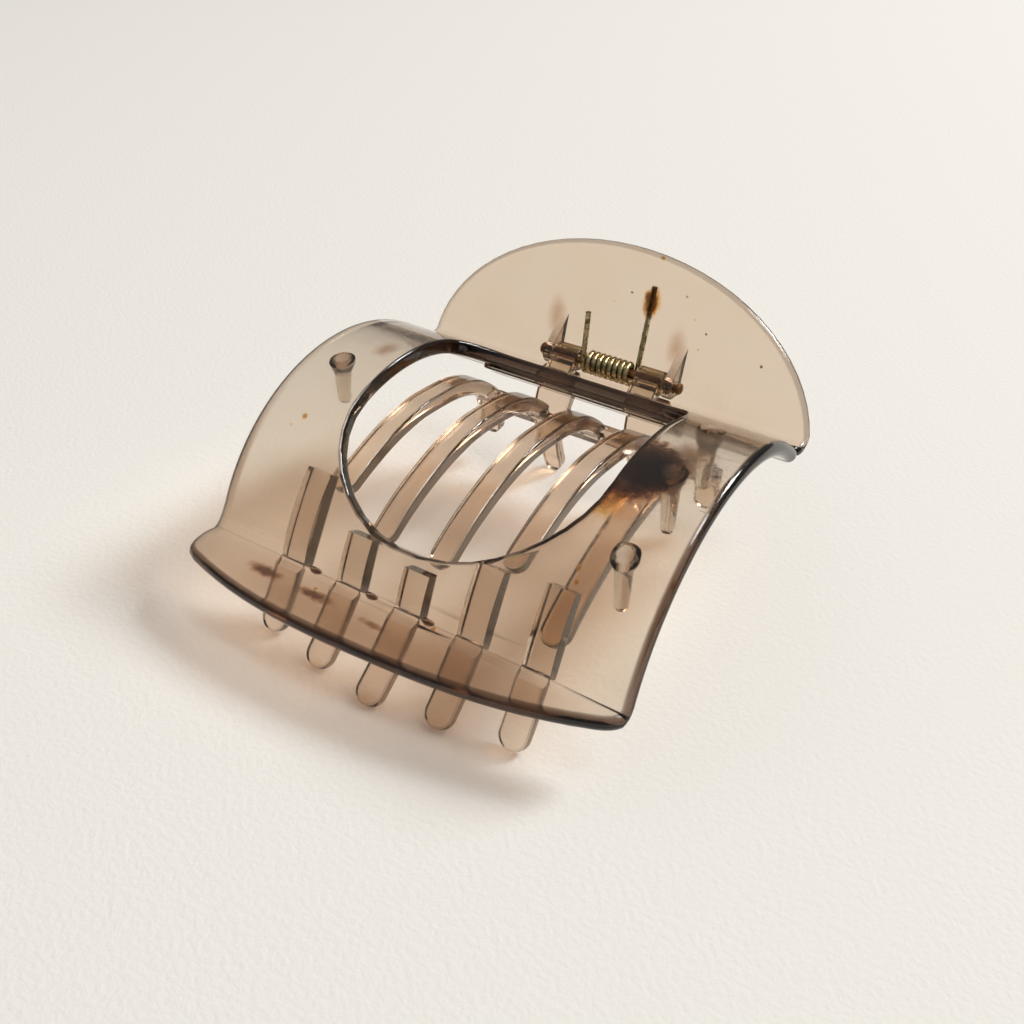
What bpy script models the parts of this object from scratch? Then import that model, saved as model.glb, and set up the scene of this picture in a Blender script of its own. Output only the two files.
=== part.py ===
"""Flat claw clip: an arched cover with a hole, hinged to a claw with a thumb tab.

Metres, +Z up. The clip stands on its teeth, with the hinge along X, the lip
towards -Y and the thumb tab towards +Y. Run it in Blender 4.5, from the text
editor or with blender --background --python part.py
"""
import math

import bmesh
import bpy
from mathutils import Matrix, Vector

MM = 0.001

# The whole clip. Lengths in the tables below are in millimetres.
MIDDLE_X = -0.94 * MM       # middle of the whole clip, which is moved to the origin
MIDDLE_Y = -3.65 * MM
COVER_WALL = 3.0 * MM
CLAW_WALL = 2.0 * MM
GAP = 0.35 * MM             # air between separate pieces

# Cover: a round arch about X, a hole in its top and a lip at its front
ARCH_RADIUS = 39.0 * MM
ARCH_Y = -0.5 * MM
ARCH_Z = -0.6 * MM
ARCH_FRONT = -69.2          # degrees from the top, at the fold to the lip
ARCH_REAR = 45.0            # degrees from the top, at the edge under the hinge
ARCH_STEPS = 26
COLUMNS = 18                # panels across the width
COVER_HALF = 43.9 * MM
LIP_MIDDLE = 11.0 * MM      # reach of the lip in front of the fold
LIP_END = 4.3 * MM
LIP_SKEW = -2.5 * MM        # it reaches further on the left than on the right
LIP_CURVE = 2.6
LIP_DROP = 0.6 * MM
LIP_SPREAD = 2.4 * MM       # how far the lip's left end stands past the arch's side
LIP_CORNER = 1.6 * MM       # both ends draw in at the lip's edge
LIP_ROWS = ((0.15, 0.4, 0.0), (0.5, 0.85, 0.1), (0.85, 1.0, 0.4), (1.0, 0.8, 1.0))   # reach, spread, corner

HOLE_HALF = 26.0 * MM
HOLE_FRONT = -32.1 * MM
HOLE_WIDEST = -12.5 * MM    # behind this line the sides run straight
HOLE_SKEW = 1.5 * MM        # its front leans with the lip
HOLE_CURVE = 0.9
HOLE_REAR = 22.5 * MM
HOLE_CORNER = 10.0 * MM
HOLE_STEPS = 7              # points in a quarter of its outline
BAR_DEPTH = 1.0 * MM        # extra depth under the bar behind the hole
BAR_HALF = 22.0 * MM
BAR_END = 44.0              # degrees from the top

# Teeth stand at the same five places on both halves
TOOTH_COUNT = 5
TOOTH_PITCH = 13.1
TOOTH_WIDTH = 4.8
LEG_WIDTH = 5.8
TIP_STEPS = 5               # sections in a tooth's round end
TIP_THIN = 0.62             # thickness left at the end of a tip

# Front tooth: its root lies under the arch, then its leg drops from the fold
ROOT_THICK = 2.4
ROOT_SINK = 0.5             # how deep it is set into the arch
ROOT_FRONT = -66.0          # degrees from the top
ROOT_OUTER = -24.9          # y where the roots of the end teeth start
ROOT_STEP = 6.6             # the middle tooth's root starts this much further on
# y, z of the leg's middle line, thickness, extra reach of the middle tooth
LEG = (
    (-36.0, 11.2, 2.6, 0.0),
    (-39.2, 9.3, 2.5, 0.8),
    (-41.0, 6.9, 2.4, 1.9),
    (-42.2, 3.9, 2.2, 2.9),
)
LEG_TIP = (-1.1, -3.45)     # y, z from the last section to the end of the tip
LEG_TIP_REACH = 2.4

# Long tooth: y, z of its middle line and thickness, from the rail forwards
LONG_TOOTH = (
    (27.9, 15.4, 3.4),
    (25.2, 18.7, 3.2),
    (20.6, 22.1, 3.0),
    (14.5, 24.3, 3.0),
    (8.0, 25.2, 3.0),
    (1.5, 25.5, 3.0),
    (-6.0, 24.5, 3.0),
    (-13.0, 22.5, 2.9),
    (-20.0, 19.6, 2.8),
    (-26.0, 16.0, 2.5),
)
LONG_TIP = (-3.5, -2.8)

# Pegs under the cover: x, y, length
PEGS = (
    (-37.1, -5.6, 8.6),
    (33.4, -5.2, 11.3),
    (33.8, -21.0, 10.6),
    (32.3, 11.0, 10.3),
)
PEG_BASE = 2.5              # radius at the cover
PEG_TIP = 1.15
PEG_SINK = 1.0              # how deep its base is set into the cover
PEG_SIDES = 12

# Hinge: a pin through two lugs on the tab and two knuckles on the cover
HINGE_X = 1.6 * MM
HINGE_Y = 30.2
HINGE_Z = 30.2
PIN_RADIUS = 0.9 * MM
PIN_HALF = 16.3 * MM
HEAD_RADIUS = 1.5 * MM
HEAD_LENGTH = 1.1 * MM
KNUCKLE_RADIUS = 2.4 * MM
KNUCKLE = (6.5 * MM, 12.3 * MM)     # its reach in x, to each side of the hinge's middle
WEB_INSET = 0.15 * MM
KNUCKLE_WEB = ((24.4, 28.8), (26.3, 27.2), (28.9, 28.2), (30.2, 32.4), (28.6, 32.0))
LUG = (12.7 * MM, 14.5 * MM)
LUG_RADIUS = 2.5
LUG_TOP = 35.8
LUG_FOOT = 27.3
ROUND_SIDES = 20

# Claw: the tab leans back from a rolled flange, which passes under the hinge
TAB_LEAN = 17.0             # degrees back from upright
TAB_Y = 32.0
TAB_Z = 26.9
TAB_HALF = 43.9             # half axes of the tab's outline
TAB_HIGH = 31.7
TAB_DROP = 4.8              # its centre, below the crease
TAB_STEPS = 13
TAB_SPAN = (9.5, 86.0)      # degrees round the outline, from the crease to the top
FLANGE = ((28.2, 27.2), (29.1, 26.6), (30.1, 26.3), (31.0, 26.3), (31.6, 26.5))
FLANGE_HALF = 43.4
RAIL_HALF = 29.0 * MM
RAIL_Y = (26.4, 29.4)
RAIL_Z = (14.0, 17.2)

# Arm and inner foot: y, z of its middle line, thickness, x of its middle, width
ARM = (
    (31.2, 25.3, 2.2, 10.4, 8.5),
    (30.8, 23.0, 2.6, 10.4, 8.5),
    (29.8, 20.6, 3.0, 10.4, 8.2),
    (28.6, 17.6, 3.2, 10.5, 7.6),
    (28.0, 14.0, 3.0, 10.9, 5.8),
    (29.0, 9.5, 2.7, 11.4, 4.8),
    (30.6, 5.2, 2.5, 11.7, 4.5),
    (31.5, 3.0, 2.4, 11.8, 4.4),
)
ARM_TIP = (0.7, -2.85)
# Outer foot, under each end tooth
FOOT = (
    (28.0, 15.6, 3.0, 26.2, 4.8),
    (28.4, 13.0, 2.8, 26.2, 4.6),
    (28.9, 10.6, 2.5, 26.2, 4.4),
    (29.1, 9.0, 2.4, 26.2, 4.4),
)
FOOT_TIP = (0.3, -2.5)

# Spring: a coil round the pin, a long leg up the tab and a short one before it
WIRE = 0.58 * MM            # radius
COIL_RADIUS = 1.92 * MM     # to the middle of the wire
COIL_TURNS = 8.5
COIL_HALF = 5.2 * MM
COIL_POINTS = 10            # points in a turn
LONG_LEG = 17.2 * MM
SHORT_LEG = 11.0 * MM
LONG_LEG_LEAN = 17.5        # degrees back from upright
SHORT_LEG_LEAN = 8.0

SMOKE = (0.36, 0.235, 0.15, 1.0)
BRASS = (0.46, 0.38, 0.2, 1.0)
STEEL = (0.42, 0.37, 0.28, 1.0)


def clear_scene():
    for obj in list(bpy.data.objects):
        bpy.data.objects.remove(obj, do_unlink=True)


def collection(name):
    group = bpy.data.collections.new(name)
    bpy.context.scene.collection.children.link(group)
    return group


def material(name, colour, roughness, metallic, transmission=0.0):
    mat = bpy.data.materials.new(name)
    mat.use_nodes = True
    shader = mat.node_tree.nodes["Principled BSDF"]
    shader.inputs["Base Color"].default_value = colour
    shader.inputs["Roughness"].default_value = roughness
    shader.inputs["Metallic"].default_value = metallic
    shader.inputs["Transmission Weight"].default_value = transmission
    mat.diffuse_color = colour
    return mat


def add_object(name, bm, group):
    """Make an object of a bmesh and link it to a collection."""
    mesh = bpy.data.meshes.new(name)
    bm.to_mesh(mesh)
    bm.free()
    obj = bpy.data.objects.new(name, mesh)
    group.objects.link(obj)
    return obj


def combine(piece, name, bm, operation, group):
    """Join a closed shape to a piece, or cut it away."""
    tool = add_object(name, bm, group)
    tool.hide_render = True
    tool.display_type = 'WIRE'
    modifier = piece.modifiers.new(name, 'BOOLEAN')
    modifier.operation = operation
    modifier.solver = 'EXACT'
    modifier.object = tool


def sheet(rows):
    """An open sheet of quads through rows of points."""
    bm = bmesh.new()
    grid = [[bm.verts.new(point) for point in row] for row in rows]
    for low, high in zip(grid, grid[1:]):
        for i in range(len(low) - 1):
            bm.faces.new((low[i], low[i + 1], high[i + 1], high[i]))
    return bm


def prism(outline, start, end):
    """A flat outline of (y, z) in millimetres, made solid between two x."""
    bm = bmesh.new()
    face = bm.faces.new([bm.verts.new((start, y * MM, z * MM)) for y, z in outline])
    swept = bmesh.ops.extrude_face_region(bm, geom=[face])
    moved = [item for item in swept["geom"] if isinstance(item, bmesh.types.BMVert)]
    bmesh.ops.translate(bm, verts=moved, vec=(end - start, 0, 0))
    bmesh.ops.recalc_face_normals(bm, faces=bm.faces)
    return bm


def hinge_rod(radius, start, end):
    """A round bar on the hinge's axis."""
    bm = bmesh.new()
    bmesh.ops.create_cone(bm, cap_ends=True, segments=ROUND_SIDES, radius1=radius,
                          radius2=radius, depth=end - start)
    turn = Matrix.Rotation(math.radians(90), 3, 'Y')
    bmesh.ops.rotate(bm, verts=bm.verts, matrix=turn)
    centre = (HINGE_X + (start + end) / 2, HINGE_Y * MM, HINGE_Z * MM)
    bmesh.ops.translate(bm, verts=bm.verts, vec=centre)
    return bm


def tongue(stations, tip):
    """A flat bar along stations of (y, z, thickness, x, width), with a round end."""
    line = [Vector((y, z)) for y, z, thick, x, width in stations]
    ends = Vector(tip)
    sections = []
    for i, (y, z, thick, x, width) in enumerate(stations):
        before = line[max(i - 1, 0)]
        after = line[i + 1] if i + 1 < len(line) else line[i] + ends
        sections.append((line[i], (after - before).normalized(), thick, x, width))
    last, heading, thick, x, width = sections[-1]
    for step in range(1, TIP_STEPS + 1):
        turn = math.radians(82.0 * step / TIP_STEPS)
        along = math.sin(turn)
        sections.append((last + ends * along, ends.normalized(),
                         thick * (1 - (1 - TIP_THIN) * along), x, width * math.cos(turn)))
    bm = bmesh.new()
    rings = []
    for middle, heading, thick, x, width in sections:
        across = Vector((-heading.y, heading.x)) * thick / 2
        corners = ((x - width / 2, middle - across), (x + width / 2, middle - across),
                   (x + width / 2, middle + across), (x - width / 2, middle + across))
        rings.append([bm.verts.new((px * MM, p.x * MM, p.y * MM)) for px, p in corners])
    for ring, following in zip(rings, rings[1:]):
        for i in range(4):
            j = (i + 1) % 4
            bm.faces.new((ring[i], ring[j], following[j], following[i]))
    bm.faces.new(rings[0])
    bm.faces.new(rings[-1])
    bmesh.ops.recalc_face_normals(bm, faces=bm.faces)
    return bm


def arch_point(degrees, radius=ARCH_RADIUS):
    """The y and z at an angle from the arch's top."""
    turn = math.radians(degrees)
    return ARCH_Y + radius * math.sin(turn), ARCH_Z + radius * math.cos(turn)


def arch_degrees(y, radius):
    return math.degrees(math.asin((y - ARCH_Y) / radius))


def tooth_places():
    """The x of each tooth, and 1 at the middle tooth falling to 0 at the ends."""
    outer = TOOTH_PITCH * (TOOTH_COUNT - 1) / 2
    for i in range(TOOTH_COUNT):
        x = TOOTH_PITCH * i - outer
        yield i, x, 1 - (x / outer) ** 2


def cover_rows():
    """Rows of points over the arch and the lip, from the crease to the lip's edge."""
    across = [2 * i / COLUMNS - 1 for i in range(COLUMNS + 1)]
    rows = []
    for step in range(ARCH_STEPS + 1):
        y, z = arch_point(ARCH_REAR + (ARCH_FRONT - ARCH_REAR) * step / ARCH_STEPS)
        rows.append([(COVER_HALF * t, y, z) for t in across])
    fold_y, fold_z = arch_point(ARCH_FRONT)
    for reach, spread, corner in LIP_ROWS:
        half = COVER_HALF - LIP_CORNER * corner
        row = []
        for t in across:
            out = LIP_END + LIP_SKEW * t + (LIP_MIDDLE - LIP_END) * (1 - abs(t) ** LIP_CURVE)
            x = half * t - LIP_SPREAD * spread * (1 - t) / 2
            row.append((x, fold_y - out * reach, fold_z - LIP_DROP * reach))
        rows.append(row)
    return rows


def hole_outline():
    """A full round front, and straight sides with round corners behind."""
    points = []
    for step in range(-HOLE_STEPS, HOLE_STEPS + 1):
        turn = math.radians(90.0 * step / HOLE_STEPS)
        out = math.copysign(abs(math.sin(turn)) ** HOLE_CURVE, step)
        ahead = max(math.cos(turn), 0.0) ** HOLE_CURVE
        reach = HOLE_FRONT - HOLE_WIDEST + HOLE_SKEW * out
        points.append((HOLE_HALF * out, HOLE_WIDEST + reach * ahead))
    for side in (1, -1):
        for step in range(HOLE_STEPS + 1):
            turn = math.radians(90.0 * step / HOLE_STEPS)
            if side < 0:
                turn = math.radians(90.0) - turn
            points.append((side * (HOLE_HALF - HOLE_CORNER * (1 - math.cos(turn))),
                           HOLE_REAR - HOLE_CORNER * (1 - math.sin(turn))))
    return points


def hole_cutter():
    bm = bmesh.new()
    face = bm.faces.new([bm.verts.new((x, y, 0.02)) for x, y in hole_outline()])
    swept = bmesh.ops.extrude_face_region(bm, geom=[face])
    moved = [item for item in swept["geom"] if isinstance(item, bmesh.types.BMVert)]
    bmesh.ops.translate(bm, verts=moved, vec=(0, 0, 0.03))
    bmesh.ops.recalc_face_normals(bm, faces=bm.faces)
    return bm


def rear_bar():
    """The deeper bar under the arch, between the hole and the hinge."""
    inner = ARCH_RADIUS - COVER_WALL
    start = arch_degrees(HOLE_REAR - 1 * MM, inner)
    angles = [start + (BAR_END - start) * i / 3 for i in range(4)]
    upper = [arch_point(a, inner + COVER_WALL / 3) for a in angles]
    lower = [arch_point(a, inner - BAR_DEPTH) for a in angles]
    outline = upper + lower[::-1]
    return prism([(y / MM, z / MM) for y, z in outline], -BAR_HALF, BAR_HALF)


def front_tooth(x, middle):
    """Root under the arch and leg behind the lip; middle is 1 at the centre tooth."""
    radius = (ARCH_RADIUS - COVER_WALL) / MM + ROOT_SINK - ROOT_THICK / 2
    start = arch_degrees((ROOT_OUTER - ROOT_STEP * middle) * MM, radius * MM)
    stations = []
    for share in (0.0, 0.35, 0.7, 1.0):
        y, z = arch_point(start + (ROOT_FRONT - start) * share, radius * MM)
        stations.append((y / MM, z / MM, ROOT_THICK, x, TOOTH_WIDTH))
    for y, z, thick, extra in LEG:
        stations.append((y - middle ** 2 * extra, z, thick, x, LEG_WIDTH))
    return tongue(stations, (LEG_TIP[0] - middle ** 2 * LEG_TIP_REACH, LEG_TIP[1]))


def peg(x, y, length):
    inner = ARCH_RADIUS - COVER_WALL
    top = arch_point(arch_degrees(y * MM, inner), inner)[1]
    depth = (length + PEG_SINK) * MM
    bm = bmesh.new()
    bmesh.ops.create_cone(bm, cap_ends=True, segments=PEG_SIDES, radius1=PEG_TIP * MM,
                          radius2=PEG_BASE * MM, depth=depth)
    bmesh.ops.translate(bm, verts=bm.verts,
                        vec=(x * MM, y * MM, top + PEG_SINK * MM - depth / 2))
    return bm


def build_cover(parts, cutters):
    cover = add_object("cover", sheet(cover_rows()), parts)
    wall = cover.modifiers.new("wall", 'SOLIDIFY')
    wall.thickness = COVER_WALL
    wall.offset = 1
    wall.use_even_offset = True
    combine(cover, "bar", rear_bar(), 'UNION', cutters)
    combine(cover, "hole", hole_cutter(), 'DIFFERENCE', cutters)
    for i, x, middle in tooth_places():
        combine(cover, f"front_tooth_{i + 1}", front_tooth(x, middle), 'UNION', cutters)
    for i, (x, y, length) in enumerate(PEGS):
        combine(cover, f"peg_{i + 1}", peg(x, y, length), 'UNION', cutters)
    for side in (-1, 1):
        start, end = sorted(side * reach for reach in KNUCKLE)
        web = prism(KNUCKLE_WEB, HINGE_X + start + WEB_INSET, HINGE_X + end - WEB_INSET)
        combine(cover, f"web_{side}", web, 'UNION', cutters)
        combine(cover, f"barrel_{side}", hinge_rod(KNUCKLE_RADIUS, start, end), 'UNION', cutters)
    combine(cover, "cover_bore", hinge_rod(PIN_RADIUS + GAP, -0.02, 0.02), 'DIFFERENCE', cutters)
    return cover


def tab_rows():
    """Rows of points over the flange and the tab, from the flange's front up."""
    across = [2 * i / COLUMNS - 1 for i in range(COLUMNS + 1)]
    rows = [[(FLANGE_HALF * t * MM, y * MM, z * MM) for t in across] for y, z in FLANGE]
    lean = math.radians(TAB_LEAN)
    low, high = TAB_SPAN
    for step in range(TAB_STEPS + 1):
        turn = math.radians(low + (high - low) * step / TAB_STEPS)
        half = TAB_HALF * math.cos(turn) * MM
        up = TAB_HIGH * math.sin(turn) - TAB_DROP
        y = (TAB_Y + up * math.sin(lean)) * MM
        z = (TAB_Z + up * math.cos(lean)) * MM
        rows.append([(half * t, y, z) for t in across])
    return rows


def lug_outline():
    """A rounded eye at the hinge that tapers up the tab to a point."""
    def in_tab(z):
        return TAB_Y + (z - TAB_Z) * math.tan(math.radians(TAB_LEAN)) + 0.6
    points = [(in_tab(LUG_TOP), LUG_TOP), (in_tab(LUG_FOOT), LUG_FOOT)]
    for degrees in (270, 240, 210, 180, 160):
        turn = math.radians(degrees)
        points.append((HINGE_Y + LUG_RADIUS * math.cos(turn),
                       HINGE_Z + LUG_RADIUS * math.sin(turn)))
    return points


def build_claw(parts, cutters):
    claw = add_object("claw", sheet(tab_rows()), parts)
    wall = claw.modifiers.new("wall", 'SOLIDIFY')
    wall.thickness = CLAW_WALL
    wall.offset = -1
    wall.use_even_offset = True
    rail = prism([(y, z) for y in RAIL_Y for z in (RAIL_Z if y == RAIL_Y[0] else RAIL_Z[::-1])],
                 -RAIL_HALF, RAIL_HALF)
    combine(claw, "rail", rail, 'UNION', cutters)
    for side in (-1, 1):
        arm = [(y, z, thick, side * x, width) for y, z, thick, x, width in ARM]
        foot = [(y, z, thick, side * x, width) for y, z, thick, x, width in FOOT]
        combine(claw, f"arm_{side}", tongue(arm, ARM_TIP), 'UNION', cutters)
        combine(claw, f"foot_{side}", tongue(foot, FOOT_TIP), 'UNION', cutters)
        start, end = sorted(side * reach for reach in LUG)
        lug = prism(lug_outline(), HINGE_X + start, HINGE_X + end)
        combine(claw, f"lug_{side}", lug, 'UNION', cutters)
    for i, x, middle in tooth_places():
        stations = [(y, z, thick, x, TOOTH_WIDTH) for y, z, thick in LONG_TOOTH]
        combine(claw, f"long_tooth_{i + 1}", tongue(stations, LONG_TIP), 'UNION', cutters)
    combine(claw, "claw_bore", hinge_rod(PIN_RADIUS + GAP, -0.02, 0.02), 'DIFFERENCE', cutters)
    return claw


def build_pin(parts):
    """A rod with a rivet head at each end, turned about the hinge's axis."""
    neck = PIN_HALF - HEAD_LENGTH
    profile = ((PIN_HALF, 0), (PIN_HALF, HEAD_RADIUS), (neck, HEAD_RADIUS),
               (neck, PIN_RADIUS), (-neck, PIN_RADIUS), (-neck, HEAD_RADIUS),
               (-PIN_HALF, HEAD_RADIUS), (-PIN_HALF, 0))
    bm = bmesh.new()
    points = [bm.verts.new((x, 0, radius)) for x, radius in profile]
    for first, second in zip(points, points[1:]):
        bm.edges.new((first, second))
    pin = add_object("hinge_pin", bm, parts)
    turned = pin.modifiers.new("turned", 'SCREW')
    turned.axis = 'X'
    turned.steps = ROUND_SIDES
    turned.render_steps = ROUND_SIDES
    turned.use_merge_vertices = True
    turned.merge_threshold = 0.00001
    return pin


def spring_points():
    """Down the short leg, round the coil and up the long leg, about the pin."""
    start = math.radians(180 - SHORT_LEG_LEAN)
    finish = math.radians(-LONG_LEG_LEAN)
    turns = int(COIL_TURNS) * math.tau + (start - finish) % math.tau
    count = round(turns / math.tau * COIL_POINTS)
    points = []
    for i in range(count + 1):
        share = i / count
        turn = start + turns * share
        points.append(Vector((COIL_HALF * (2 * share - 1), COIL_RADIUS * math.cos(turn),
                              COIL_RADIUS * math.sin(turn))))
    short = math.radians(SHORT_LEG_LEAN)
    long = math.radians(LONG_LEG_LEAN)
    first = points[0] + Vector((0, math.sin(short), math.cos(short))) * SHORT_LEG
    last = points[-1] + Vector((0, math.sin(long), math.cos(long))) * LONG_LEG
    return [first] + points + [last]


def build_spring(parts):
    points = spring_points()
    curve = bpy.data.curves.new("spring", 'CURVE')
    curve.dimensions = '3D'
    curve.bevel_depth = WIRE
    curve.bevel_resolution = 2
    curve.use_fill_caps = True
    spline = curve.splines.new('POLY')
    spline.points.add(len(points) - 1)
    for point, place in zip(spline.points, points):
        point.co = (*place, 1)
    spring = bpy.data.objects.new("spring", curve)
    parts.objects.link(spring)
    return spring


def empty(name, parts, location, holder=None):
    point = bpy.data.objects.new(name, None)
    point.location = location
    point.parent = holder
    parts.objects.link(point)
    return point


def main():
    clear_scene()
    parts = collection("flat_claw_clip")
    cutters = collection("cutters")
    axis = Vector((HINGE_X, HINGE_Y * MM, HINGE_Z * MM))
    origin = empty("clip_origin", parts, (-MIDDLE_X, -MIDDLE_Y, 0))
    hinge = empty("hinge_axis", parts, axis, origin)

    cover = build_cover(parts, cutters)
    claw = build_claw(parts, cutters)
    pin = build_pin(parts)
    spring = build_spring(parts)
    cover.parent = origin
    pin.parent = hinge
    spring.parent = hinge
    claw.parent = hinge         # it turns about the hinge, and its shape is drawn from the floor
    claw.location = -axis
    for tool in cutters.objects:
        tool.parent = origin

    smoke = material("smoke_plastic", SMOKE, 0.08, 0.0, 0.9)
    claw_smoke = material("smoke_plastic_claw", SMOKE, 0.08, 0.0, 0.9)
    steel = material("pin_steel", STEEL, 0.3, 1.0)
    brass = material("spring_brass", BRASS, 0.3, 1.0)
    for piece, finish in ((cover, smoke), (claw, claw_smoke), (pin, steel), (spring, brass)):
        piece.data.materials.append(finish)


main()
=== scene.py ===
import math

import bmesh
import bpy
from mathutils import Matrix, Vector
from mathutils.bvhtree import BVHTree
from mathutils.interpolate import poly_3d_calc


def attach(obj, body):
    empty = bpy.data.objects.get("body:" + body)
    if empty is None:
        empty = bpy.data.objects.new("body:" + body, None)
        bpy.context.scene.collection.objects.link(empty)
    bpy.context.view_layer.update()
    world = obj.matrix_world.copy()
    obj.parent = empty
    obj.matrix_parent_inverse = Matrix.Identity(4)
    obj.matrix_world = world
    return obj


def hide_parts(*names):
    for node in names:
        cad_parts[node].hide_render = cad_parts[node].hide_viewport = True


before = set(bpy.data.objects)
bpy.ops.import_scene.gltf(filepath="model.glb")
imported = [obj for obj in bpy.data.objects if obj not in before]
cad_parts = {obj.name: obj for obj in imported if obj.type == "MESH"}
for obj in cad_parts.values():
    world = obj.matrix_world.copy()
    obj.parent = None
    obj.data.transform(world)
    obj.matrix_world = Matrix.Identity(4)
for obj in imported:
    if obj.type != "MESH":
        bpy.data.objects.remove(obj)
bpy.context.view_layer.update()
print("frame loaded")

mm = 0.001
clipMiddle = Vector((-0.94, -3.65, 0))      # shapes and stains are in millimetres, and this point is the frame's origin
same = 0.001                                # points nearer than this are one


# helpers: a flat shape is drawn as x across, y along and z up, then bent along a run of (y, z) points

def smoothRun(points, steps):
    run = []
    for i in range(len(points) - 1):
        a = Vector(points[max(i - 1, 0)])
        b = Vector(points[i])
        c = Vector(points[i + 1])
        d = Vector(points[min(i + 2, len(points) - 1)])
        for k in range(steps):
            t = k / steps
            run.append(0.5 * (2 * b + (c - a) * t + (2 * a - 5 * b + 4 * c - d) * t * t
                              + (3 * b - a - 3 * c + d) * t ** 3))
    run.append(Vector(points[-1]))
    return run


def arcRun(middle, radius, start, end, steps):
    run = []
    for i in range(steps + 1):
        turn = math.radians(start + (end - start) * i / steps)
        run.append(Vector(middle) + Vector((math.sin(turn), math.cos(turn))) * radius)
    return run


def roundCorner(before, corner, after, radius, steps):
    into = (Vector(before) - Vector(corner)).normalized()
    out = (Vector(after) - Vector(corner)).normalized()
    half = into.angle(out) / 2
    reach = radius / math.tan(half)
    centre = Vector(corner) + (into + out).normalized() * radius / math.sin(half)
    first = Vector(corner) + into * reach - centre
    last = Vector(corner) + out * reach - centre
    turn = first.angle_signed(last)
    run = []
    for i in range(steps + 1):
        run.append(centre + Matrix.Rotation(-turn * i / steps, 2) @ first)
    return run


def measured(points):
    lengths = [0.0]
    for a, b in zip(points, points[1:]):
        lengths.append(lengths[-1] + (b - a).length)
    normals = []
    for i in range(len(points)):
        heading = (points[min(i + 1, len(points) - 1)] - points[max(i - 1, 0)]).normalized()
        normals.append(Vector((-heading.y, heading.x)))
    return {"points": points, "lengths": lengths, "normals": normals}


def placeOn(lengths, along):
    i = 0
    while i < len(lengths) - 2 and lengths[i + 1] < along:
        i += 1
    return i, (along - lengths[i]) / (lengths[i + 1] - lengths[i])


def onRun(run, along, depth, side):
    i, share = placeOn(run["lengths"], along)
    normal = run["normals"][i].lerp(run["normals"][i + 1], min(max(share, 0), 1)).normalized()
    return run["points"][i].lerp(run["points"][i + 1], share) + normal * depth * side


def bend(bm, run, side=1, grow=None, line=None):
    # cuts the flat shape at each point of the run, paints one line of shade across it, then lays it along the run
    for length in run["lengths"][1:-1]:
        bmesh.ops.bisect_plane(bm, geom=bm.verts[:] + bm.edges[:] + bm.faces[:], dist=0.0005,
                               plane_co=(0, length, 0), plane_no=(0, 1, 0))
    if line:
        lineAlong, depth = line
        paintedShade = bm.verts.layers.float["paintedShade"]
        for v in bm.verts:
            if abs(v.co.y - lineAlong) < 0.01 and v.co.z > -0.01:
                v[paintedShade] = max(v[paintedShade], depth)
    for v in bm.verts:
        along = v.co.y
        depth = v.co.z
        if grow:
            wide, thick = grow(along)
            v.co.x *= wide
            depth *= thick
        y, z = onRun(run, along, depth, side)
        v.co = (v.co.x, y, z)
    bmesh.ops.recalc_face_normals(bm, faces=bm.faces)
    if bm.calc_volume(signed=True) < 0:
        bmesh.ops.reverse_faces(bm, faces=bm.faces)


def plateOf(outlines, top, bottom):
    bm = bmesh.new()
    for outline in outlines:
        bm.faces.new([bm.verts.new((x, y, bottom)) for x, y in outline])
    bmesh.ops.remove_doubles(bm, verts=bm.verts, dist=same)
    grown = bmesh.ops.extrude_face_region(bm, geom=bm.faces[:])
    bmesh.ops.translate(bm, vec=(0, 0, top - bottom),
                        verts=[g for g in grown["geom"] if isinstance(g, bmesh.types.BMVert)])
    bmesh.ops.recalc_face_normals(bm, faces=bm.faces)
    return bm


def rimEdges(bm, wanted=lambda x, y: True):
    rims = []
    for edge in bm.edges:
        if len(edge.link_faces) != 2:
            continue
        flat = sorted(abs(face.normal.z) for face in edge.link_faces)
        middle = (edge.verts[0].co + edge.verts[1].co) / 2
        if flat[0] < 0.1 and flat[1] > 0.9 and wanted(middle.x, middle.y):
            rims.append(edge)
    return rims


def roundEdges(bm, edges, radius, segments):
    bmesh.ops.bevel(bm, geom=edges, offset=radius, offset_type='OFFSET', segments=segments,
                    profile=0.5, affect='EDGES', material=-1, clamp_overlap=True)


def backCorners(bm):
    # the upright edges of a plate at y = 0
    return [e for e in bm.edges if abs(e.verts[0].co.z - e.verts[1].co.z) > 1 and e.verts[0].co.y < 0.01]


def roundEnds(bm, radius):
    # the edges round the two flat ends of a solid that runs along x
    roundEdges(bm, [e for e in bm.edges if abs(e.verts[0].co.x - e.verts[1].co.x) < same], radius, 3)


def paintRimShade(bm, top, bottom, depth=1.0):
    # painted shade: the sides of a moulding are darkened, most of all near the top, standing in for the dark its
    # rounded edges show through the plastic; the plastic reads this mark
    profile = ((0, 0), (0.02, 0.25), (0.15, 0.5), (0.37, 0.8), (0.5, 1), (0.94, 1), (0.985, 0.9), (1, 0), (9, 0))
    paintedShade = bm.verts.layers.float.new("paintedShade")
    for v in bm.verts:
        share = max((v.co.z - bottom) / (top - bottom), 0)
        for (low, first), (high, second) in zip(profile, profile[1:]):
            if low <= share < high:
                v[paintedShade] = depth * (first + (second - first) * (share - low) / (high - low))


def paintShadeAll(bm, depth):
    paintedShade = bm.verts.layers.float.new("paintedShade")
    for v in bm.verts:
        v[paintedShade] = depth
    return bm


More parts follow.
